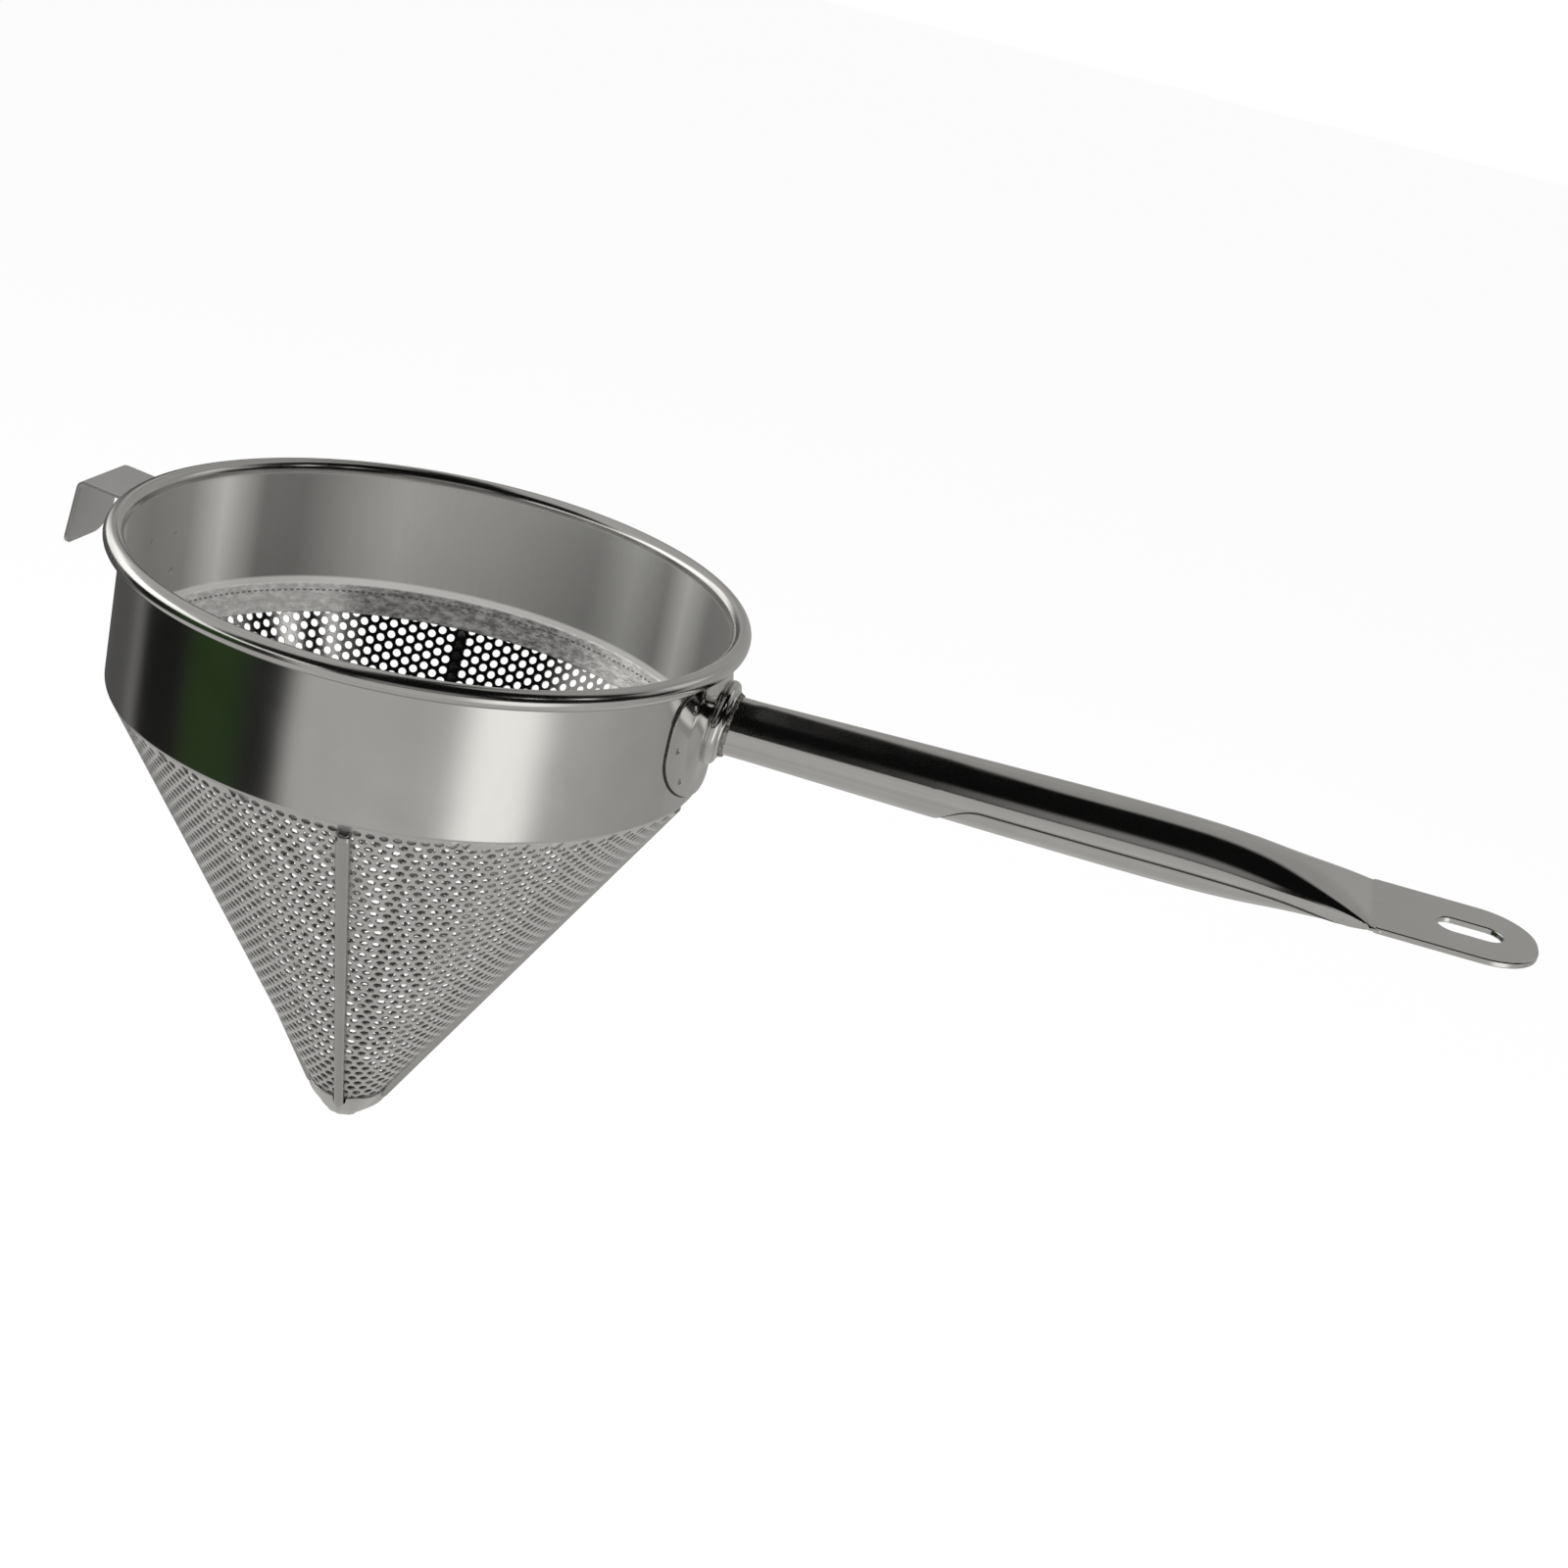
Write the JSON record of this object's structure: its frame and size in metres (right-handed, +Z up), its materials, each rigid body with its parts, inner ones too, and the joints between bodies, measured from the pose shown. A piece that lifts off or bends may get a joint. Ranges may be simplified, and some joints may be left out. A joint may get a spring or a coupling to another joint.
{
  "type": "chinois strainer",
  "caption": "Conical perforated sheet strainer with a straight band, rolled rim, side ribs, hollow handle with a hanging slot, and a pot hook opposite.",
  "frame": {"origin": "centre of the mouth, level with the middle of the rolled rim", "axes": "+Z up out of the mouth along the cone's axis, +X along the handle"},
  "size_m": [0.5506, 0.2328, 0.2335],
  "materials": {
    "band": "polished outside, brushed inside",
    "strainer_cone": "satin, perforated",
    "rib_1": "polished",
    "rib_2": "polished",
    "rib_3": "polished",
    "rib_4": "polished",
    "tip_cap": "polished",
    "handle_flange": "polished",
    "handle": "polished",
    "handle_underside": "polished",
    "handle_weld": "polished",
    "hook": "polished"
  },
  "bodies": {
    "root": {"band": "band", "strainer_cone": "strainer_cone", "rib_1": "rib_1", "rib_2": "rib_2", "rib_3": "rib_3", "rib_4": "rib_4", "tip_cap": "tip_cap", "handle_flange": "handle_flange", "handle": "handle", "handle_underside": "handle_underside", "handle_weld": "handle_weld", "hook": "hook"}
  },
  "joints": []
}
